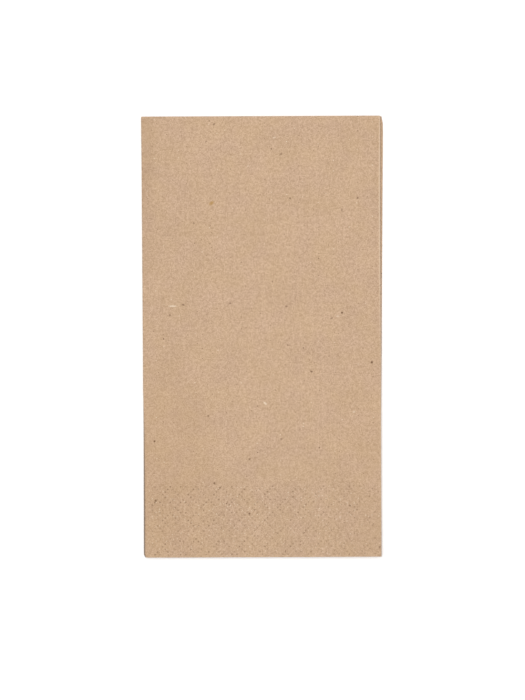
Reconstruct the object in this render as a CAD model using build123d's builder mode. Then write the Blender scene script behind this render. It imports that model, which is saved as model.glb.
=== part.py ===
from build123d import *
import os

# Paper napkin, folded flat for the table: one sheet, folded once in half and then three times across.
# X runs across the stack, +Y points to the closed cross fold and +Z is up.
# The origin is the middle of the underside.

# The sheet
sheet_thickness = 0.22
panel_width = 108.0
folded_length = 198.0
inner_leaf_setback = 15.0

# Air between the layers
leaf_gap = 0.16
panel_gap = 0.20

# The two loose ends of the strip at the open side: the lower one shows past the cover panel near the
# cross fold and slants away under it, the upper one stays tucked in
loose_end_peek = 0.85
loose_end_slant = 1.7
loose_corner_width = 0.45
loose_corner_length = 3.6
tucked_end_setback = 1.5

# Corner of the spine at the band end, rubbed away
worn_corner_width = 1.1
worn_corner_length = 1.6

# The strip: two leaves of the sheet lying on each other, joined by the cross fold
strip_thickness = 2 * sheet_thickness + leaf_gap
panel_pitch = strip_thickness + panel_gap
cross_fold_radius = strip_thickness / 2
stack_height = 3 * panel_pitch + strip_thickness

# Middle of the strip in each panel, counted up from the underside
outer_panel_z = strip_thickness / 2
tucked_panel_z = outer_panel_z + panel_pitch
inner_panel_z = tucked_panel_z + panel_pitch
cover_panel_z = inner_panel_z + panel_pitch

# Bends of the strip: a wide spine that wraps round the two tight folds
spine_radius = 1.5 * panel_pitch
tight_radius = panel_pitch / 2

left_x = -(panel_width + loose_end_peek) / 2
right_x = left_x + panel_width
spine_x = left_x + spine_radius + strip_thickness / 2
open_fold_x = right_x - tight_radius - strip_thickness / 2
loose_end_x = right_x + loose_end_peek
tucked_end_x = right_x - tucked_end_setback

band_end_y = -folded_length / 2
cross_fold_y = folded_length / 2
leaf_turn_y = cross_fold_y - cross_fold_radius
inner_leaf_end_y = band_end_y + inner_leaf_setback

with BuildPart() as napkin:
    # Route of the strip, seen from the band end: in along the bottom, round the spine, across the top,
    # back under itself and in again
    with BuildLine(Plane.XZ.offset(-band_end_y)) as fold_route:
        Line((loose_end_x, outer_panel_z), (spine_x, outer_panel_z))
        JernArc((spine_x, outer_panel_z), (-1, 0), spine_radius, -180)
        Line((spine_x, cover_panel_z), (open_fold_x, cover_panel_z))
        JernArc((open_fold_x, cover_panel_z), (1, 0), tight_radius, -180)
        Line((open_fold_x, inner_panel_z), (spine_x, inner_panel_z))
        JernArc((spine_x, inner_panel_z), (-1, 0), tight_radius, 180)
        Line((spine_x, tucked_panel_z), (tucked_end_x, tucked_panel_z))

    # Section of the strip: the outer leaf below, the shorter inner leaf above, one round fold between
    with BuildSketch(Plane.YZ.offset(loose_end_x)) as strip_section:
        with BuildLine():
            Polyline(
                (leaf_turn_y, 0),
                (band_end_y, 0),
                (band_end_y, sheet_thickness),
                (leaf_turn_y, sheet_thickness),
            )
            RadiusArc(
                (leaf_turn_y, sheet_thickness),
                (leaf_turn_y, sheet_thickness + leaf_gap),
                -leaf_gap / 2,
            )
            Polyline(
                (leaf_turn_y, sheet_thickness + leaf_gap),
                (inner_leaf_end_y, sheet_thickness + leaf_gap),
                (inner_leaf_end_y, strip_thickness),
                (leaf_turn_y, strip_thickness),
            )
            RadiusArc(
                (leaf_turn_y, strip_thickness),
                (leaf_turn_y, 0),
                cross_fold_radius,
            )
        make_face()

    sweep(path=fold_route.line)

    # Slanted cut along the loose end of the bottom panel, with its corner at the cross fold turned in
    with BuildSketch():
        with BuildLine():
            Polyline(
                (loose_end_x - loose_end_slant, band_end_y),
                (loose_end_x, cross_fold_y - loose_corner_length),
                (loose_end_x - loose_corner_width, cross_fold_y),
                (loose_end_x + loose_end_peek, cross_fold_y),
                (loose_end_x + loose_end_peek, band_end_y),
                close=True,
            )
        make_face()
    extrude(amount=strip_thickness + panel_gap / 2, mode=Mode.SUBTRACT)

    # Worn corner of the spine
    with BuildSketch():
        with BuildLine():
            Polyline(
                (left_x, band_end_y),
                (left_x + worn_corner_width, band_end_y),
                (left_x, band_end_y + worn_corner_length),
                close=True,
            )
        make_face()
    extrude(amount=stack_height, mode=Mode.SUBTRACT)

napkin.part.label = "napkin"

os.makedirs("parts", exist_ok=True)
export_step(napkin.part, "parts/napkin.step")
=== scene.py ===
"""Brown paper napkin, folded flat: one sheet of tissue, drawn flat, embossed and then folded.

All sizes in the dataclasses are millimetres. The meshes are in metres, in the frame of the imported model.
"""

import logging
import math
from dataclasses import dataclass
from enum import Enum

import bpy
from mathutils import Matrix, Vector, noise


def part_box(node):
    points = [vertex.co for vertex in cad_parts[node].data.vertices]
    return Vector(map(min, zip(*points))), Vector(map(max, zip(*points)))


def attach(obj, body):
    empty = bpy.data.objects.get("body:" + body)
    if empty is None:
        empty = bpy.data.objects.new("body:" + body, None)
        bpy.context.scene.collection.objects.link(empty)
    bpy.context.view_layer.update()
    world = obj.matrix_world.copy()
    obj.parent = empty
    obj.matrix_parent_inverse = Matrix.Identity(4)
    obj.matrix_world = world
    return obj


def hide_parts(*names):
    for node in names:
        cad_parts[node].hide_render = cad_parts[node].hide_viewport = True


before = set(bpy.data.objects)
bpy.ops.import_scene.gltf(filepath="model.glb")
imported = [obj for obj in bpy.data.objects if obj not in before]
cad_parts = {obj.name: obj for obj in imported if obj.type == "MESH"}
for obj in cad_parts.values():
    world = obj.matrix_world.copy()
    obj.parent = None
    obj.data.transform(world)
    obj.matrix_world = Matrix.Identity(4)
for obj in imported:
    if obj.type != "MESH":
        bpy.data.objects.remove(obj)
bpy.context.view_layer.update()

LOG = logging.getLogger("napkin")
MM = 0.001
SAME_PLACE = 1e-6

Point2 = tuple[float, float]
Point3 = tuple[float, float, float]
Colour = tuple[float, float, float, float]
Crossing = tuple[int, int]
Socket = bpy.types.NodeSocket


class Side(Enum):
    """The two sides of the sheet, by the way that they lie off its middle."""

    FACE = 1
    BACK = -1


class Panel(Enum):
    """The four panels of the folded strip, in the order in which the strip runs through them."""

    OUTER = 0
    COVER = 1
    INNER = 2
    TUCKED = 3


def linear(colour: str) -> Colour:
    """Turn an sRGB hex colour into the linear values that a shader takes.

    Args:
        colour: Six hex digits after a hash sign.

    Returns:
        Red, green, blue and an alpha of one.
    """
    shares = [int(colour[k : k + 2], 16) / 255 for k in (1, 3, 5)]
    red, green, blue = (c / 12.92 if c <= 0.04045 else ((c + 0.055) / 1.055) ** 2.4 for c in shares)
    return red, green, blue, 1.0


def smooth_step(value: float, start: float, end: float) -> float:
    """Rise smoothly from 0 at start to 1 at end.

    Args:
        value: Where to read the step.
        start: Where it is still 0.
        end: Where it has become 1.

    Returns:
        The height of the step.
    """
    share = min(max((value - start) / (end - start), 0.0), 1.0)
    return share * share * (3 - 2 * share)


def ripple(x: float, y: float, wavelength: float, layer: float) -> float:
    """Read one smooth random wave.

    Args:
        x: Place across, in millimetres.
        y: Place along, in millimetres.
        wavelength: Usual distance between crests, in millimetres.
        layer: Which of the independent waves to read.

    Returns:
        A height between about -1 and 1.
    """
    return noise.noise(Vector((x / wavelength, y / wavelength, 7.3 * layer + 0.5)))


def add_node(tree: bpy.types.NodeTree, kind: str, settings: dict | None = None, **links) -> bpy.types.Node:
    """Add one shader node, with its settings and what feeds it.

    Args:
        tree: The material's node tree.
        kind: The node's type, without the leading ShaderNode.
        settings: Attribute values, and socket values by the socket's name or number.
        **links: Sockets to link, by input name with underscores for spaces, or in_N for input N.

    Returns:
        The new node.
    """
    node = tree.nodes.new("ShaderNode" + kind)
    for name, value in (settings or {}).items():
        if isinstance(name, int) or name in node.inputs:
            node.inputs[name].default_value = value
        else:
            setattr(node, name, value)
    for name, socket in links.items():
        key = int(name[3:]) if name.startswith("in_") else name.replace("_", " ")
        tree.links.new(socket, node.inputs[key])
    return node


@dataclass(frozen=True)
class Run:
    """One stretch of the strip's route, straight or bent, as X and Z seen from the band end.

    The heading is an angle from +X towards +Z, and the bend is a radius, positive where the strip
    turns towards its inner leaf and 0 where it runs straight.
    """

    length: float
    start: Point2
    heading: float
    bend: float = 0.0

    def at(self, distance: float) -> tuple[Point2, Point2]:
        """Find a point of the stretch.

        Args:
            distance: Length from the start of the stretch.

        Returns:
            The point, and the direction from the outer leaf to the inner one there.
        """
        x, z = self.start
        heading = self.heading - (distance / self.bend if self.bend else 0.0)
        inner = (math.sin(heading), -math.cos(heading))
        if not self.bend:
            return (x + math.cos(heading) * distance, z + math.sin(heading) * distance), inner
        turn_x = math.sin(self.heading) - inner[0]
        turn_z = -math.cos(self.heading) - inner[1]
        return (x + turn_x * self.bend, z + turn_z * self.bend), inner


@dataclass(frozen=True)
class FoldRoute:
    """Route of the doubled strip through its four panels and three bends."""

    leaf: float = 0.22
    leaf_gap: float = 0.16
    panel_gap: float = 0.20
    panel_width: float = 107.5
    loose_end_peek: float = 1.35
    tucked_end_setback: float = 1.5

    @property
    def strip(self) -> float:
        """Thickness of two leaves with the air between them."""
        return 2 * self.leaf + self.leaf_gap

    @property
    def pitch(self) -> float:
        """Height from one panel to the next."""
        return self.strip + self.panel_gap

    @property
    def height(self) -> float:
        """Height of the whole stack."""
        return 3 * self.pitch + self.strip

    @property
    def left(self) -> float:
        """Outside of the spine."""
        return -(self.panel_width + self.loose_end_peek) / 2

    @property
    def right(self) -> float:
        """Outside of the fold at the open side."""
        return self.left + self.panel_width

    @property
    def spine_x(self) -> float:
        """Centre of the spine and of the tight fold inside it."""
        return self.left + 1.5 * self.pitch + self.strip / 2

    @property
    def open_fold_x(self) -> float:
        """Centre of the fold at the open side."""
        return self.right - self.pitch / 2 - self.strip / 2

    def runs(self) -> list[Run]:
        """List the stretches of the strip, from the lower loose end to the upper one.

        Returns:
            Panels and bends in turn, starting and ending with a panel.
        """
        low = self.strip / 2
        wide, tight = 1.5 * self.pitch, self.pitch / 2
        loose_x = self.right + self.loose_end_peek
        tucked_x = self.right - self.tucked_end_setback
        span = self.open_fold_x - self.spine_x
        return [
            Run(loose_x - self.spine_x, (loose_x, low), math.pi),
            Run(math.pi * wide, (self.spine_x, low), math.pi, wide),
            Run(span, (self.spine_x, low + 3 * self.pitch), 0.0),
            Run(math.pi * tight, (self.open_fold_x, low + 3 * self.pitch), 0.0, tight),
            Run(span, (self.open_fold_x, low + 2 * self.pitch), math.pi),
            Run(math.pi * tight, (self.spine_x, low + 2 * self.pitch), math.pi, -tight),
            Run(tucked_x - self.spine_x, (self.spine_x, low + self.pitch), 0.0),
        ]

    def spans(self) -> list[Point2]:
        """Measure how far along the strip each stretch lies.

        Returns:
            Where each stretch starts and ends.
        """
        found, start = [], 0.0
        for run in self.runs():
            found.append((start, start + run.length))
            start += run.length
        return found

    def panel_span(self, panel: Panel) -> Point2:
        """Lengths along the strip at which a panel starts and ends."""
        return self.spans()[2 * panel.value]

    def on_cover(self, x: float) -> float:
        """Length along the strip at which the cover panel lies at a given X."""
        return self.panel_span(Panel.COVER)[0] + x - self.spine_x

    def at(self, along: float) -> tuple[Point2, Point2]:
        """Find a point of the route.

        Args:
            along: Length along the strip, from the lower loose end.

        Returns:
            The point, and the direction from the outer leaf to the inner one there.
        """
        spans = self.spans()
        k = next((i for i, (_, end) in enumerate(spans) if along <= end), len(spans) - 1)
        return self.runs()[k].at(along - spans[k][0])


@dataclass(frozen=True)
class EmbossedBand:
    """Band of pressed dots along the cut end: outlines of diamonds, each twelve dots round."""

    step_x: float = 1.155
    step_y: float = 1.168
    first_row: float = 4.8
    middle_x: float = 3.9
    lowest: int = -4
    highest: int = 24
    diamond_pitch: int = 5
    diamond_reach: int = 3
    dot_depth: float = 0.14
    bite: float = 0.66
    bite_spread: float = 0.28
    bite_along: float = 0.6
    bite_across: float = 0.8
    bite_drift: float = 0.0025
    firm_rows: Point2 = (6, 18)
    firm_gain: float = 0.06
    firm_drift: float = 0.003
    worn_row: float = 4.5
    worn_reach: float = 4.0
    worn_loss: float = 0.38
    unevenness: float = 1.1
    faintest: float = 0.1
    pillow: float = 0.05
    pillow_reach: float = 2.5
    thinnest: float = 0.03
    ring_radii: tuple[float, ...] = (0.52, 0.32, 0.15)
    ring_depths: tuple[float, ...] = (0.0, 0.5, 1.0)
    ring_corners: int = 8

    def rows(self) -> list[tuple[float, int]]:
        """Heights above the cut end of the rows of lattice points, with each row's number."""
        return [(self.first_row + j * self.step_y, j) for j in range(self.lowest, self.highest + 1)]

    @property
    def top(self) -> float:
        """Height of the band's upper edge above the cut end."""
        return self.rows()[-1][0]

    def nearest_diamond(self, i: int, j: int) -> Crossing:
        """Find where a lattice point lies in the diamond nearest to it.

        Args:
            i: Lattice column.
            j: Lattice row.

        Returns:
            Steps across and along from the diamond's middle.
        """
        pitch = self.diamond_pitch
        p, q = round((i + j) / (2 * pitch)), round((i - j) / (2 * pitch))
        near = [
            (i - pitch * (a + b), j - pitch * (a - b))
            for a in (p - 1, p, p + 1)
            for b in (q - 1, q, q + 1)
        ]
        return min(near, key=lambda d: abs(d[0]) + abs(d[1]))

    def dotted(self, i: int, j: int) -> bool:
        """Whether lattice point i, j holds a dot."""
        across, along = self.nearest_diamond(i, j)
        return self.lowest < j < self.highest and abs(across) + abs(along) == self.diamond_reach

    def press(self, i: int, j: int) -> float:
        """Share of the full depth that the dot at i, j has.

        The roller bit harder to the upper left, and less along a worn strip near its foot.

        Args:
            i: Lattice column.
            j: Lattice row.

        Returns:
            A share between about 0.1 and 1.5.
        """
        across, along = self.nearest_diamond(i, j)
        slope = (self.bite_along * along - self.bite_across * across) / self.diamond_reach
        bite = self.bite + self.bite_spread * slope - self.bite_drift * i
        bite += smooth_step(j, *self.firm_rows) * (self.firm_gain - self.firm_drift * i)
        bite *= 1 - self.worn_loss * max(0.0, 1 - abs(j - self.worn_row) / self.worn_reach)
        return max(bite * (1 + self.unevenness * ripple(i * 3.1, j * 3.7, 4.0, 11)), self.faintest)

    def sink(self, i: int, j: int) -> float:
        """Find how far the paper is drawn down by the dots near it.

        Args:
            i: Lattice column.
            j: Lattice row.

        Returns:
            A depth in millimetres.
        """
        across, along = self.nearest_diamond(i, j)
        away = abs(abs(across) + abs(along) - self.diamond_reach)
        return self.pillow * (1 - smooth_step(away, 0, self.pillow_reach))


@dataclass(frozen=True)
class Wear:
    """How the real stack departs from straight lines: small skews, loose gaps and a rubbed corner."""

    length: float
    left_taper: float = 0.3
    left_bow: float = 0.22
    right_taper: float = 0.25
    cover_bow: float = 0.12
    loose_slant: float = 1.3
    slant_length: float = 145.0
    loose_corner_width: float = 0.7
    loose_corner_length: float = 3.0
    rubbed_width: float = 0.55
    rubbed_length: float = 0.7
    spine_squareness: float = 6.0
    spine_lip: float = 0.55
    lip_length: float = 78.0
    edge_wobble: float = 0.09
    end_wobble: float = 0.10
    spring_open: float = 0.22
    ripple_share: float = 0.10
    trimmed_reach: float = 30.0
    side_reach: float = 9.0
    end_reach: float = 14.0
    lip_reach: float = 2.0
    lip_levels: Point2 = (0.15, 0.9)
    bow_levels: Point2 = (0.1, 0.35)
    edge_wave: float = 26.0
    end_wave: float = 34.0
    spring_wave: float = 40.0
    swells: tuple[Point3, ...] = ((62.0, 4, 1.0), (27.0, 5, 0.5), (11.0, 6, 0.16))

    def trim_loose_end(self, x: float, y: float, route: FoldRoute) -> float:
        """Pull the lower loose end in along its slanted cut, with its corner turned in.

        Args:
            x: Place across before the cut.
            y: Place along.
            route: The folded route, for where the open side is.

        Returns:
            The place across after it.
        """
        pull = self.loose_slant * min((self.length / 2 - y) / self.slant_length, 1.0)
        corner = (y - self.length / 2) / self.loose_corner_length + 1
        pull += self.loose_corner_width * max(corner, 0.0)
        return x - pull * smooth_step(x, route.right - self.trimmed_reach, route.right)

    def flatten_spine(self, x: float, z: float, route: FoldRoute) -> Point2:
        """Press the round spine square, as a creased fold is: flat on top, with its bend at the edges.

        Args:
            x: Place across, left of the spine's centre.
            z: Height.
            route: The folded route, for the spine's centre.

        Returns:
            The place across and the height after it.
        """
        across, up = x - route.spine_x, z - route.height / 2
        reach = math.hypot(across, up)
        if reach < SAME_PLACE:
            return x, z
        power = self.spine_squareness
        spread = (abs(across / reach) ** power + abs(up / reach) ** power) ** (-1 / power)
        return route.spine_x + across * spread, route.height / 2 + up * spread

    def settle(self, point: Point3, route: FoldRoute) -> Point3:
        """Move a point of the neatly folded stack to where it lies in the real one.

        Args:
            point: The point in the neat stack, in millimetres.
            route: The folded route, for the stack's edges.

        Returns:
            The settled point, in millimetres.
        """
        x, y, z = point
        if x < route.spine_x:
            x, z = self.flatten_spine(x, z, route)
        down = (self.length / 2 - y) / self.length
        from_end = y + self.length / 2
        level = z / route.height
        near_left = 1 - smooth_step(x, route.left, route.left + self.side_reach)
        near_right = smooth_step(x, route.right - self.side_reach, route.right)
        near_end = 1 - smooth_step(from_end, 0, self.end_reach)

        over = smooth_step(x, route.left, route.right)
        inset = self.left_taper * down + self.left_bow * math.sin(math.pi * down)
        settled_x = x + inset * (1 - over) - self.right_taper * down * over
        bow = self.cover_bow * math.sin(math.pi * min(2 * down, 1.0))
        settled_x -= bow * over * smooth_step(level, *self.bow_levels)
        settled_x += self.edge_wobble * ripple(level, y, self.edge_wave, 1) * (near_left + near_right)
        lip = self.spine_lip * (1 - smooth_step(from_end, 0.7 * self.lip_length, self.lip_length))
        lip *= 1 - smooth_step(x, route.left, route.left + self.lip_reach)
        settled_x += lip * smooth_step(level, *self.lip_levels)
        rubbed = max(0.0, 1 - from_end / self.rubbed_length) * self.rubbed_width
        settled_x += rubbed * (1 - smooth_step(x, route.left, route.left + 2 * self.rubbed_width))

        settled_y = y + self.end_wobble * ripple(x, 3 * level, self.end_wave, 2) * near_end

        loose = self.spring_open * (near_end * (0.6 + 0.4 * ripple(x, 0, self.spring_wave, 3)))
        swell = sum(share * ripple(x, y, wave, layer) for wave, layer, share in self.swells)
        loose += self.ripple_share * swell
        return settled_x, settled_y, z * (1 + loose)


@dataclass(frozen=True)
class Station:
    """One line of the flat sheet's grid: its place, its number on the dot lattice, and its weight.

    A light line is left out where the grid is coarse.
    """

    place: float
    lattice: int | None = None
    light: bool = False


@dataclass
class FoldedSheet:
    """The napkin's one sheet: a grid in the flat, embossed, folded in half and then three times across."""

    route: FoldRoute
    band: EmbossedBand
    length: float
    setback: float = 15.0
    bend_parts: int = 16
    cross_parts: int = 8
    outer_row: float = 3.1
    inner_row: float = 6.2
    bend_clearance: float = 0.3
    smooth_below: float = 50.0

    def __post_init__(self) -> None:
        """Lay out the grid and fold the wear round it."""
        self.wear = Wear(self.length)
        self.turn_y = self.length / 2 - self.route.strip / 2
        self.ring = (self.route.strip - self.route.leaf) / 2
        self.outer_leaf = self.turn_y + self.length / 2
        self.inner_leaf = self.turn_y + self.length / 2 - self.setback
        self.points: list[Point3] = []
        self.faces: list[tuple[int, ...]] = []
        self.flat: list[Point2] = []
        self.pressed: list[float] = []

    def columns(self) -> list[Station]:
        """Lines that run along the napkin, from the lower loose end to the upper one.

        Returns:
            Lattice lines on the panels, closer ones round the bends, and the two loose ends.
        """
        cover_start, _ = self.route.panel_span(Panel.COVER)
        origin = cover_start + self.band.middle_x - self.route.spine_x
        found = []
        for k, (start, end) in enumerate(self.route.spans()):
            if k % 2:
                step = (end - start) / self.bend_parts
                found += [Station(start + n * step) for n in range(self.bend_parts + 1)]
                continue
            clear = self.bend_clearance * self.band.step_x
            first = math.ceil((start + clear - origin) / self.band.step_x)
            last = math.floor((end - clear - origin) / self.band.step_x)
            found += [
                Station(origin + i * self.band.step_x, i, light=i % 2 == 1)
                for i in range(first, last + 1)
            ]
        ends = (0.0, self.route.spans()[-1][1])
        return sorted(found + [Station(e) for e in ends], key=lambda c: c.place)

    def rows(self) -> list[Station]:
        """Lines that run across the napkin, from the outer leaf's cut end to the inner leaf's.

        Returns:
            Lattice lines in the band, then wider ones, with close ones round the cross fold.
        """
        found = [Station(0.0)] + [Station(w, j) for w, j in self.band.rows()]
        band_top = found[-1].place
        plain = round((self.outer_leaf - band_top) / self.outer_row)
        step = (self.outer_leaf - band_top) / plain
        found += [Station(band_top + n * step) for n in range(1, plain)]
        arc = math.pi * self.ring
        found += [
            Station(self.outer_leaf + arc * n / self.cross_parts)
            for n in range(self.cross_parts + 1)
        ]
        hidden = round(self.inner_leaf / self.inner_row)
        step = self.inner_leaf / hidden
        return found + [Station(self.outer_leaf + arc + n * step) for n in range(1, hidden + 1)]

    def fold(self, along: float, up: float, lift: float) -> Point3:
        """Fold one point of the flat sheet to its place in the stack.

        Args:
            along: Length along the strip, from the lower loose end.
            up: Length from the outer leaf's cut end towards the inner leaf's.
            lift: Height off the middle of the sheet, towards its face.

        Returns:
            The point in metres, in the row frame.
        """
        arc = math.pi * self.ring
        turn = min(max((up - self.outer_leaf) / self.ring, 0.0), math.pi)
        past = max(up - self.outer_leaf - arc, 0.0)
        straight = min(up, self.outer_leaf)
        y = straight - self.length / 2 - past + (self.ring + lift) * math.sin(turn)
        off = -(self.ring + lift) * math.cos(turn)
        (x, z), (inner_x, inner_z) = self.route.at(along)
        x, z = x + inner_x * off, z + inner_z * off
        if along < self.route.panel_span(Panel.OUTER)[1]:
            x = self.wear.trim_loose_end(x, y, self.route)
        settled = self.wear.settle((x, y, z), self.route)
        return tuple(value * MM for value in settled)

    def add_point(self, along: float, up: float, lift: float, pressed: float = 0.0) -> int:
        """Add one folded vertex, and keep its place on the flat sheet.

        Args:
            along: Length along the strip, from the lower loose end.
            up: Length from the outer leaf's cut end towards the inner leaf's.
            lift: Height off the middle of the sheet, towards its face.
            pressed: How hard the roller pressed the paper there, from 0 to about 1.

        Returns:
            The vertex's number.
        """
        self.points.append(self.fold(along, up, lift))
        self.flat.append((along * MM, up * MM))
        self.pressed.append(pressed)
        return len(self.points) - 1

    def lay_side(self, side: Side) -> dict[Crossing, int]:
        """Lay one side of the sheet: its grid, and on the face the dots of the panels that show.

        Args:
            side: Which side.

        Returns:
            The vertex number at each crossing of a column and a row.
        """
        columns, rows = self.columns(), self.rows()
        half = side.value * self.route.leaf / 2
        shown = [self.route.panel_span(p) for p in (Panel.OUTER, Panel.COVER)]
        band_top = self.band.top
        at: dict[Crossing, int] = {}
        for c, column in enumerate(columns):
            for r, row in enumerate(rows):
                if column.light and row.place > band_top + SAME_PLACE:
                    continue
                sunk = 0.0
                if side is Side.FACE and row.lattice is not None and column.lattice is not None:
                    sunk = self.band.sink(column.lattice, row.lattice)
                at[c, r] = self.add_point(column.place, row.place, half - sunk)

        def has_dot(c: int, r: int) -> bool:
            """Tell whether a crossing holds a dot that shows, with lattice lines all round it.

            Args:
                c: The crossing's column.
                r: The crossing's row.

            Returns:
                True where a dot is pressed.
            """
            column, row = columns[c], rows[r]
            if side is Side.BACK or column.lattice is None or row.lattice is None:
                return False
            if not any(start < column.place < end for start, end in shown):
                return False
            if columns[c - 1].lattice is None or columns[c + 1].lattice is None:
                return False
            return self.band.dotted(column.lattice, row.lattice)

        dots = {
            (c, r)
            for c in range(1, len(columns) - 1)
            for r in range(1, len(rows) - 1)
            if rows[r].place < band_top and has_dot(c, r)
        }
        heavy = [c for c, column in enumerate(columns) if not column.light]
        for r in range(len(rows) - 1):
            if rows[r + 1].place <= band_top + SAME_PLACE:
                for c in range(len(columns) - 1):
                    self.lay_cell(at, dots, c, r)
                continue
            for c, following in zip(heavy, heavy[1:]):
                lower = [at[k, r] for k in range(c, following + 1) if (k, r) in at]
                self.faces.append((*lower, at[following, r + 1], at[c, r + 1]))
        for c, r in sorted(dots):
            self.press_dot(at, columns, rows, c, r, half)
        return at

    def lay_cell(self, at: dict[Crossing, int], dots: set[Crossing], c: int, r: int) -> None:
        """Fill one cell of the band, apart from the halves that belong to dots.

        Args:
            at: Vertex number at each crossing.
            dots: Crossings that hold a dot.
            c: Column at the cell's left.
            r: Row at the cell's foot.
        """
        corners = [(c, r), (c + 1, r), (c + 1, r + 1), (c, r + 1)]
        pressed = [k for k, corner in enumerate(corners) if corner in dots]
        if not pressed:
            self.faces.append(tuple(at[corner] for corner in corners))
        elif len(pressed) == 1:
            k = pressed[0]
            self.faces.append(tuple(at[corners[(k + n) % 4]] for n in (1, 2, 3)))

    def press_dot(
        self,
        at: dict[Crossing, int],
        columns: list[Station],
        rows: list[Station],
        c: int,
        r: int,
        half: float,
    ) -> None:
        """Press one dot into its diamond of four half cells.

        Args:
            at: Vertex number at each crossing.
            columns: The grid's columns.
            rows: The grid's rows.
            c: The dot's column.
            r: The dot's row.
            half: Height of the face off the middle of the sheet.
        """
        middle_x, middle_y = columns[c].place, rows[r].place
        i, j = columns[c].lattice, rows[r].lattice
        force = self.band.press(i, j)
        rim_sink = self.band.sink(i, j)
        depth = min(self.band.dot_depth * force, self.route.leaf - rim_sink - self.band.thinnest)
        count = self.band.ring_corners
        rings = []
        for radius, share in zip(self.band.ring_radii, self.band.ring_depths):
            rings.append([])
            for angle in (math.tau * n / count for n in range(count)):
                x, y = middle_x + radius * math.cos(angle), middle_y + radius * math.sin(angle)
                rings[-1].append(self.add_point(x, y, half - rim_sink - depth * share, force * share))
        outer = [at[c + 1, r], at[c, r + 1], at[c - 1, r], at[c, r - 1]]
        per_side = count // 4
        for k in range(4):
            first = rings[0][k * per_side]
            between = [rings[0][(k * per_side + n) % count] for n in range(per_side + 1)]
            self.faces.append((outer[k], outer[(k + 1) % 4], between[1]))
            self.faces.append((outer[k], between[1], first))
            self.faces.append((outer[(k + 1) % 4], between[2], between[1]))
        for wide, narrow in zip(rings, rings[1:]):
            for n in range(count):
                m = (n + 1) % count
                self.faces.append((wide[n], wide[m], narrow[m], narrow[n]))
        self.faces.append(tuple(rings[-1]))

    def close_edges(self, face: dict[Crossing, int], back: dict[Crossing, int]) -> None:
        """Join the two sides along the sheet's four cut edges.

        Args:
            face: Vertex numbers of the face's crossings.
            back: Vertex numbers of the back's crossings.
        """
        last_c, last_r = max(c for c, _ in face), max(r for _, r in face)
        for line in (
            [key for key in sorted(face) if key[1] == 0],
            [key for key in sorted(face) if key[1] == last_r],
            [key for key in sorted(face) if key[0] == 0],
            [key for key in sorted(face) if key[0] == last_c],
        ):
            for one, other in zip(line, line[1:]):
                self.faces.append((face[one], face[other], back[other], back[one]))

    def build(self) -> bpy.types.Object:
        """Make the folded sheet's object.

        Returns:
            The closed mesh, with its flat place as a UV map named flat_sheet, in metres.
        """
        face, back = self.lay_side(Side.FACE), self.lay_side(Side.BACK)
        self.close_edges(face, back)
        mesh = bpy.data.meshes.new("napkin_sheet")
        mesh.from_pydata(self.points, [], self.faces)
        layer = mesh.uv_layers.new(name="flat_sheet")
        for loop in mesh.loops:
            layer.data[loop.index].uv = self.flat[loop.vertex_index]
        pressed = mesh.attributes.new("pressed", "FLOAT", "POINT")
        pressed.data.foreach_set("value", self.pressed)
        mesh.validate()
        piece = bpy.data.objects.new("napkin_sheet", mesh)
        bpy.context.scene.collection.objects.link(piece)
        bpy.ops.object.select_all(action="DESELECT")
        piece.select_set(True)
        bpy.context.view_layer.objects.active = piece
        bpy.ops.object.mode_set(mode="EDIT")
        bpy.ops.mesh.delete_loose(use_edges=False)
        bpy.ops.mesh.select_all(action="SELECT")
        bpy.ops.mesh.normals_make_consistent(inside=False)
        bpy.ops.object.mode_set(mode="OBJECT")
        bpy.ops.object.shade_smooth_by_angle(angle=math.radians(self.smooth_below))
        LOG.info("napkin_sheet: %d vertices, %d faces", len(mesh.vertices), len(mesh.polygons))
        return piece


class Tint(Enum):
    """What a mark in the paper is made of, or the painted light or shade that it stands for, and its
    colour.
    """

    BARK = "#6B4F38"
    # Dust flecks, and painted shade along the upper left edge.
    DUST_AND_SHADE = "#8E7158"
    RESIN = "#A8834F"
    # Pale fibres, and painted highlights scattered over the embossed band.
    BLEACHED_AND_HIGHLIGHT = "#E0CCB3"
    # Painted highlight on the rounded edge of the open fold.
    FOLD_HIGHLIGHT = "#E2C9AE"
    # Painted shade: along the spine, and darker towards the band end and over the left side.
    PAINTED_SHADE = "#64503E"


@dataclass(frozen=True)
class Mark:
    """One mark on the cover that isn't left to chance: a splinter, a pale fibre, a painted highlight or
    painted shade.

    Its place is measured from the middle of the napkin, and its tilt from +X.
    """

    x: float
    y: float
    length: float
    width: float
    tint: Tint = Tint.BARK
    tilt: float = 0.0
    strength: float = 1.0


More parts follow.
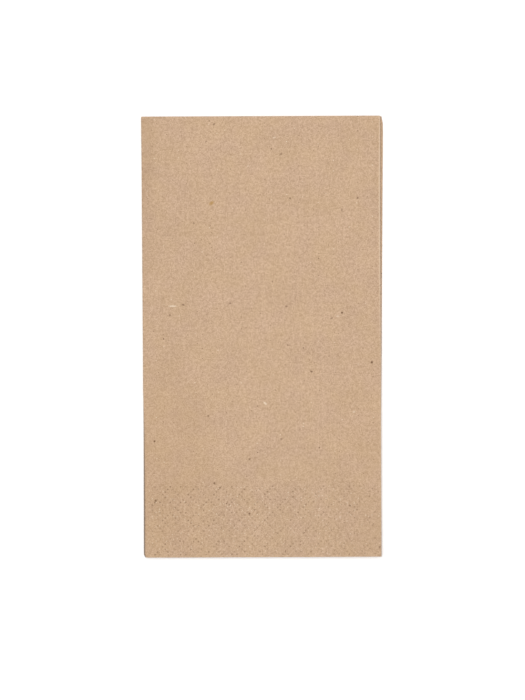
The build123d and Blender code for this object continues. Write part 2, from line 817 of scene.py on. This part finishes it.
@dataclass(frozen=True)
class UnbleachedTissue:
    """Brown tissue from unbleached recycled pulp, dry and unglazed: matt, mottled, flecked with bark.

    To the eye it is warm and soft, with no gleam: a fine grain up close and faint clouds from further off.
    The dents are painted darker than the paper round them, partly for the denser pressed paper and partly
    as painted shade in the dents. The cover also carries painted shade along the spine and towards the
    band end and the left side, and painted highlights along the open fold and over the embossed band.
    Sizes are millimetres on the flat sheet. The grain is drawn coarser than real fibres, so that it shows.
    """

    route: FoldRoute
    band_top: float
    length: float
    pale_pulp: str = "#CCAE93"
    dark_pulp: str = "#B09278"
    ochre_pulp: str = "#C4A860"
    pressed_pulp_and_shade: str = "#80664E"
    cloud: float = 14.0
    patch: float = 11.0
    floc: float = 2.4
    fibre: float = 1.1
    grain: float = 0.5
    fibre_share: float = 0.65
    grain_share: float = 0.4
    pulp_spread: Point2 = (0.34, 0.66)
    cloud_spread: Point2 = (0.3, 0.7)
    cloud_strength: float = 0.085
    patch_strength: float = 0.09
    pressed_and_shade_strength: float = 0.65
    fleck_cell: float = 7.0
    fleck_radius: float = 0.42
    fleck_share: float = 0.15
    dust_cell: float = 2.2
    dust_radius: float = 0.28
    dust_share: float = 0.4
    lint_cell: float = 3.5
    lint_radius: float = 0.28
    lint_share: float = 0.3
    highlight_cell: float = 1.6
    highlight_radius: float = 0.42
    highlight_share: float = 0.7
    highlight_fade: float = 2.0
    highlight_rows: Point2 = (8.0, 26.0)
    highlight_by_row: Point2 = (0.38, 0.56)
    highlight_side: float = 50.0
    highlight_by_side: Point2 = (0.85, 1.15)
    mottle_roughness: float = 0.55
    blot_softness: float = 0.5
    mark_core: float = 0.4
    ragged: float = 0.35
    roughness: float = 0.92
    gleam: float = 0.2
    fuzz: float = 0.15
    relief: float = 0.5
    relief_height: float = 0.2
    # Flecks and fibres that catch the eye first, then the long soft ones: painted highlight along the open
    # fold, painted shade along the spine, painted shade darker towards the band end and over the left
    # side, and warmer sides
    marks: tuple[Mark, ...] = (
        Mark(-40.9, 13.8, 4.5, 1.0, Tint.BLEACHED_AND_HIGHLIGHT, 1, 0.8),
        Mark(0.7, -30.0, 2.5, 1.2, Tint.BLEACHED_AND_HIGHLIGHT, -40, 0.8),
        Mark(40.8, -34.0, 1.7, 1.3, Tint.BLEACHED_AND_HIGHLIGHT, 20, 0.5),
        Mark(5.4, 89.3, 2.0, 1.0, Tint.BLEACHED_AND_HIGHLIGHT, 10, 0.5),
        Mark(33.6, 9.0, 1.7, 1.0, Tint.BLEACHED_AND_HIGHLIGHT, strength=0.5),
        Mark(-23.0, 60.0, 3.2, 2.1, Tint.RESIN, 35, 0.8),
        Mark(-36.1, 14.4, 2.0, 1.1, tilt=-20, strength=0.65),
        Mark(-14.9, 15.0, 1.2, 1.1, strength=0.65),
        Mark(-42.1, 9.7, 1.5, 1.5, strength=0.5),
        Mark(35.6, 10.5, 1.4, 1.1),
        Mark(30.9, 8.0, 1.8, 1.2, tilt=30, strength=0.5),
        Mark(42.9, 62.0, 1.3, 1.2, strength=0.65),
        Mark(35.8, 56.7, 1.1, 1.6, strength=0.5),
        Mark(12.4, 62.0, 1.2, 1.2, strength=0.65),
        Mark(-21.6, 95.4, 1.6, 1.1, tilt=20, strength=0.65),
        Mark(-25.3, 87.6, 1.6, 0.9, tilt=50, strength=0.5),
        Mark(8.4, 81.9, 2.0, 1.2, tilt=45, strength=0.5),
        Mark(21.7, -15.8, 1.7, 1.1, tilt=-20, strength=0.8),
        Mark(48.9, -11.8, 1.4, 1.4),
        Mark(-49.3, -46.8, 1.2, 1.2),
        Mark(-6.4, -55.0, 1.6, 1.0, tilt=40, strength=0.65),
        Mark(-22.4, -65.8, 1.2, 1.4, strength=0.8),
        Mark(-19.9, -67.8, 1.1, 1.1, strength=0.65),
        Mark(-6.6, -79.5, 1.4, 1.2, strength=0.8),
        Mark(-48.9, -73.5, 1.4, 1.5, strength=0.8),
        Mark(38.8, -76.1, 1.3, 1.1, strength=0.65),
        Mark(52.2, -94.7, 1.5, 1.0, tilt=80, strength=0.65),
        Mark(10.5, 13.5, 1.4, 1.1, strength=0.65),
        Mark(-25.0, -35.5, 1.3, 1.1, strength=0.65),
        Mark(8.0, -46.0, 1.6, 1.0, strength=0.5),
        # Painted highlight along the rounded edge of the open fold, in its upper and lower halves.
        Mark(52.6, 60.0, 155.0, 0.8, Tint.FOLD_HIGHLIGHT, 90, 0.52),
        Mark(52.9, -40.0, 150.0, 1.4, Tint.FOLD_HIGHLIGHT, 90, 0.3),
        # Painted shade along the lower spine, then a faint line of painted shade along the whole spine.
        Mark(-54.7, -80.0, 120.0, 2.4, Tint.PAINTED_SHADE, 90, 0.9),
        Mark(-54.4, 20.0, 300.0, 1.6, Tint.PAINTED_SHADE, 90, 0.12),
        # Painted shade, darker towards the band end.
        Mark(0.0, -90.0, 200.0, 90.0, Tint.PAINTED_SHADE, 0, 0.05),
        # Painted shade along the upper left edge, in the colour of the dust flecks.
        Mark(-53.0, 90.0, 150.0, 12.0, Tint.DUST_AND_SHADE, 90, 0.14),
        # Painted shade, darker over the left side.
        Mark(-50.0, 20.0, 280.0, 60.0, Tint.PAINTED_SHADE, 90, 0.03),
        Mark(-42.0, -60.0, 130.0, 50.0, Tint.RESIN, 90, 0.1),
        Mark(44.0, -60.0, 120.0, 36.0, Tint.RESIN, 90, 0.05),
    )

    def material(self) -> bpy.types.Material:
        """Make the material, with every pattern laid on the flat sheet.

        Returns:
            The new material.
        """
        material = bpy.data.materials.new("unbleached_tissue")
        material.use_nodes = True
        tree = material.node_tree
        shader = tree.nodes["Principled BSDF"]
        shader.inputs["Roughness"].default_value = self.roughness
        shader.inputs["Specular IOR Level"].default_value = self.gleam
        shader.inputs["Sheen Weight"].default_value = self.fuzz
        sheet = add_node(tree, "UVMap", {"uv_map": "flat_sheet"}).outputs["UV"]
        pulp = self.pulp(tree, sheet)

        settings = dict(zip(("From Min", "From Max"), self.pulp_spread))
        spread = add_node(tree, "MapRange", settings, Value=pulp).outputs[0]
        colour = self.paint(tree, linear(self.dark_pulp), linear(self.pale_pulp), spread)
        start, end = self.cloud_spread
        for size, strength, tint in (
            (self.cloud, self.cloud_strength, self.pressed_pulp_and_shade),
            (self.patch, self.patch_strength, self.ochre_pulp),
        ):
            settings = {"From Min": start, "From Max": end, "To Max": strength}
            blots = self.mottle(tree, sheet, size, 2.0)
            cloud = add_node(tree, "MapRange", settings, Value=blots).outputs[0]
            colour = self.paint(tree, colour, linear(tint), cloud)

        ragged = self.shift_raggedly(tree, sheet)
        for cell, radius, share, tint in (
            (self.dust_cell, self.dust_radius, self.dust_share, Tint.DUST_AND_SHADE),
            (self.lint_cell, self.lint_radius, self.lint_share, Tint.BLEACHED_AND_HIGHLIGHT),
            (self.fleck_cell, self.fleck_radius, self.fleck_share, Tint.BARK),
        ):
            blots = self.scatter(tree, ragged, cell, radius, share)
            colour = self.paint(tree, colour, linear(tint.value), blots)
        # Painted highlights: pale spots scattered over the embossed band.
        colour = self.paint(tree, colour, linear(Tint.BLEACHED_AND_HIGHLIGHT.value), self.band_highlights(tree, sheet, ragged))
        for mark in self.marks:
            colour = self.paint(tree, colour, linear(mark.tint.value), self.place(tree, ragged, mark))
        # The dents painted darker: partly the denser pressed paper, partly painted shade in the dents.
        pressed = add_node(tree, "Attribute", {"attribute_name": "pressed"}).outputs["Fac"]
        dented = add_node(tree, "MapRange", {"To Max": self.pressed_and_shade_strength}, Value=pressed).outputs[0]
        colour = self.paint(tree, colour, linear(self.pressed_pulp_and_shade), dented)
        tree.links.new(colour, shader.inputs["Base Color"])

        settings = {"Strength": self.relief, "Distance": self.relief_height * MM}
        bump = add_node(tree, "Bump", settings, Height=pulp)
        tree.links.new(bump.outputs["Normal"], shader.inputs["Normal"])
        return material

    def mottle(self, tree: bpy.types.NodeTree, sheet: Socket, size: float, detail: float) -> Socket:
        """Make noise with blots of one usual width.

        Args:
            tree: The material's node tree.
            sheet: Place on the flat sheet.
            size: Width of the blots, in millimetres.
            detail: How many finer layers the noise has.

        Returns:
            The noise, about 0.5.
        """
        settings = {"noise_dimensions": "2D", "Scale": 1 / (size * MM), "Detail": detail}
        settings["Roughness"] = self.mottle_roughness
        return add_node(tree, "TexNoise", settings, Vector=sheet).outputs["Fac"]

    def pulp(self, tree: bpy.types.NodeTree, sheet: Socket) -> Socket:
        """Lay the pulp: flocs, bundles of fibres and single grains, one over the other.

        Args:
            tree: The material's node tree.
            sheet: Place on the flat sheet.

        Returns:
            The height of the pulp, about 0.5.
        """
        height = self.mottle(tree, sheet, self.floc, 2.0)
        for size, detail, share in (
            (self.fibre, 1.0, self.fibre_share),
            (self.grain, 0.0, self.grain_share),
        ):
            settings = {"data_type": "FLOAT", 0: share}
            finer = self.mottle(tree, sheet, size, detail)
            height = add_node(tree, "Mix", settings, A=height, B=finer).outputs[0]
        return height

    def paint(
        self, tree: bpy.types.NodeTree, under: Socket | Colour, over: Colour, share: Socket
    ) -> Socket:
        """Lay one colour over another.

        Args:
            tree: The material's node tree.
            under: The lower colour.
            over: The upper colour.
            share: How much of the upper one shows.

        Returns:
            The mixed colour.
        """
        settings, links = {"data_type": "RGBA", 7: over}, {"in_0": share}
        if isinstance(under, tuple):
            settings[6] = under
        else:
            links["in_6"] = under
        return add_node(tree, "Mix", settings, **links).outputs[2]

    def shift_raggedly(self, tree: bpy.types.NodeTree, sheet: Socket) -> Socket:
        """Shift places a little, so that what is drawn with them has a ragged outline.

        Args:
            tree: The material's node tree.
            sheet: Place on the flat sheet.

        Returns:
            The shifted place.
        """
        settings = {"noise_dimensions": "2D", "Scale": 1 / (self.grain * MM), "Detail": 1.0}
        way = add_node(tree, "TexNoise", settings, Vector=sheet).outputs["Color"]
        centred = add_node(
            tree, "VectorMath", {"operation": "SUBTRACT", 1: (0.5, 0.5, 0.5)}, in_0=way
        ).outputs[0]
        short = self.ragged * MM
        settings = {"operation": "MULTIPLY_ADD", 1: (short, short, 0)}
        return add_node(tree, "VectorMath", settings, in_0=centred, in_2=sheet).outputs[0]

    def scatter(
        self, tree: bpy.types.NodeTree, sheet: Socket, cell: float, radius: float, share: float
    ) -> Socket:
        """Scatter small blots, at most one to a cell.

        Args:
            tree: The material's node tree.
            sheet: Place on the flat sheet.
            cell: Size of a cell, in millimetres.
            radius: Size of the largest blots, in millimetres.
            share: How many of the cells hold one.

        Returns:
            1 in the middle of a blot and 0 outside.
        """
        settings = {"voronoi_dimensions": "2D", "Scale": 1 / (cell * MM)}
        cells = add_node(tree, "TexVoronoi", settings, Vector=sheet)
        chosen = add_node(tree, "SeparateColor", in_0=cells.outputs["Color"]).outputs
        settings = {"From Min": 0.0, "From Max": share, "To Min": radius / cell, "To Max": 0.0}
        size = add_node(tree, "MapRange", settings, Value=chosen[0]).outputs[0]
        inside = add_node(
            tree, "Math", {"operation": "SUBTRACT"}, in_0=size, in_1=cells.outputs["Distance"]
        ).outputs[0]
        settings = {"From Min": 0.0, "From Max": self.blot_softness * radius / cell}
        return add_node(tree, "MapRange", settings, Value=inside).outputs[0]

    def band_highlights(self, tree: bpy.types.NodeTree, sheet: Socket, ragged: Socket) -> Socket:
        """Lay painted highlights in the embossed band: pale spots between the dots, drawn as raised
        fibres.

        Args:
            tree: The material's node tree.
            sheet: Place on the flat sheet.
            ragged: The same place, shifted raggedly.

        Returns:
            How much of the painted highlight shows.
        """
        place = add_node(tree, "SeparateXYZ", Vector=sheet).outputs
        left, right = self.route.on_cover(-self.highlight_side), self.route.on_cover(self.highlight_side)
        shown = self.scatter(tree, ragged, self.highlight_cell, self.highlight_radius, self.highlight_share)
        for axis, start, end, least, most in (
            ("Y", self.band_top, self.band_top - self.highlight_fade, 0.0, 1.0),
            ("Y", *self.highlight_rows, *self.highlight_by_row),
            ("X", right, left, *self.highlight_by_side),
        ):
            settings = {"From Min": start * MM, "From Max": end * MM, "To Min": least, "To Max": most}
            share = add_node(tree, "MapRange", settings, Value=place[axis]).outputs[0]
            shown = add_node(tree, "Math", {"operation": "MULTIPLY"}, in_0=share, in_1=shown).outputs[0]
        return shown

    def place(self, tree: bpy.types.NodeTree, sheet: Socket, mark: Mark) -> Socket:
        """Place one mark on the cover.

        Args:
            tree: The material's node tree.
            sheet: Place on the flat sheet.
            mark: The mark.

        Returns:
            Its strength in the middle of the mark and 0 outside.
        """
        settings = {
            "vector_type": "TEXTURE",
            "Location": (self.route.on_cover(mark.x) * MM, (mark.y + self.length / 2) * MM, 0),
            "Rotation": (0, 0, math.radians(mark.tilt)),
            "Scale": (mark.length / 2 * MM, mark.width / 2 * MM, 1),
        }
        placed = add_node(tree, "Mapping", settings, Vector=sheet).outputs[0]
        reach = add_node(tree, "VectorMath", {"operation": "LENGTH"}, in_0=placed).outputs["Value"]
        settings = {"From Min": 1.0, "From Max": self.mark_core, "To Max": mark.strength}
        return add_node(tree, "MapRange", settings, Value=reach).outputs[0]


@dataclass(frozen=True)
class Softbox:
    """One square softbox, aimed at the napkin. Place and size are in metres, power in watts."""

    name: str
    place: Point3
    power: float
    size: float = 1.2


@dataclass(frozen=True)
class Studio:
    """Pale sweep of floor, soft light from above and a little to the left, and a camera straight above."""

    view_height: float = 315.5
    lens: float = 85.0
    sensor: float = 36.0
    aim: Point2 = (-0.3, -6.05)
    roll: float = -0.25
    floor_colour: str = "#FAF9F8"
    floor_size: float = 12.0
    floor_depth: float = 0.00005
    floor_roughness: float = 0.9
    floor_gleam: float = 0.1
    air: float = 0.45
    softboxes: tuple[Softbox, ...] = (
        Softbox("main_softbox", (-0.24, 0.16, 2.0), 29.8),
        Softbox("fill_softbox", (0.56, 0.10, 2.0), 4.1),
    )

    def floor(self) -> None:
        """Lay the floor that the napkin rests on: white paper, so bright that it has no texture."""
        bpy.ops.mesh.primitive_plane_add(size=self.floor_size, location=(0, 0, -self.floor_depth))
        floor = bpy.context.active_object
        floor.name = "studio_floor"
        material = bpy.data.materials.new("white_paper_sweep")
        material.use_nodes = True
        shader = material.node_tree.nodes["Principled BSDF"]
        shader.inputs["Base Color"].default_value = linear(self.floor_colour)
        shader.inputs["Roughness"].default_value = self.floor_roughness
        shader.inputs["Specular IOR Level"].default_value = self.floor_gleam
        floor.data.materials.append(material)

    def light(self) -> None:
        """Hang the softboxes and fill the room with even light."""
        world = bpy.data.worlds.new("studio_air")
        bpy.context.scene.world = world
        world.use_nodes = True
        background = world.node_tree.nodes["Background"]
        background.inputs["Color"].default_value = (1, 1, 1, 1)
        background.inputs["Strength"].default_value = self.air
        for softbox in self.softboxes:
            data = bpy.data.lights.new(softbox.name, "AREA")
            data.shape, data.size, data.energy = "SQUARE", softbox.size, softbox.power
            lamp = bpy.data.objects.new(softbox.name, data)
            lamp.location = softbox.place
            lamp.rotation_euler = Vector(softbox.place).to_track_quat("Z", "Y").to_euler()
            bpy.context.scene.collection.objects.link(lamp)

    def camera(self) -> None:
        """Set the camera straight above, framed as the photograph is."""
        data = bpy.data.cameras.new("camera")
        data.lens, data.sensor_width, data.sensor_fit = self.lens, self.sensor, "VERTICAL"
        data.sensor_height = self.sensor
        data.clip_start, data.clip_end = 0.01, 20
        camera = bpy.data.objects.new("camera", data)
        distance = self.view_height * self.lens / self.sensor
        camera.location = (self.aim[0] * MM, self.aim[1] * MM, distance * MM)
        camera.rotation_euler = (0, 0, math.radians(self.roll))
        bpy.context.scene.collection.objects.link(camera)
        bpy.context.scene.camera = camera
        bpy.context.scene.view_settings.view_transform = "Standard"


def main() -> None:
    """Build the napkin and its studio, and report each piece."""
    logging.basicConfig(level=logging.INFO, format="%(name)s: %(message)s")
    low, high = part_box("napkin")
    length = (high[1] - low[1]) / MM
    sheet = FoldedSheet(FoldRoute(), EmbossedBand(), length)
    piece = sheet.build()
    piece.data.materials.append(UnbleachedTissue(sheet.route, sheet.band.top, length).material())
    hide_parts("napkin")
    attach(piece, "root")
    studio = Studio()
    studio.floor()
    studio.light()
    studio.camera()


if __name__ == "__main__":
    main()
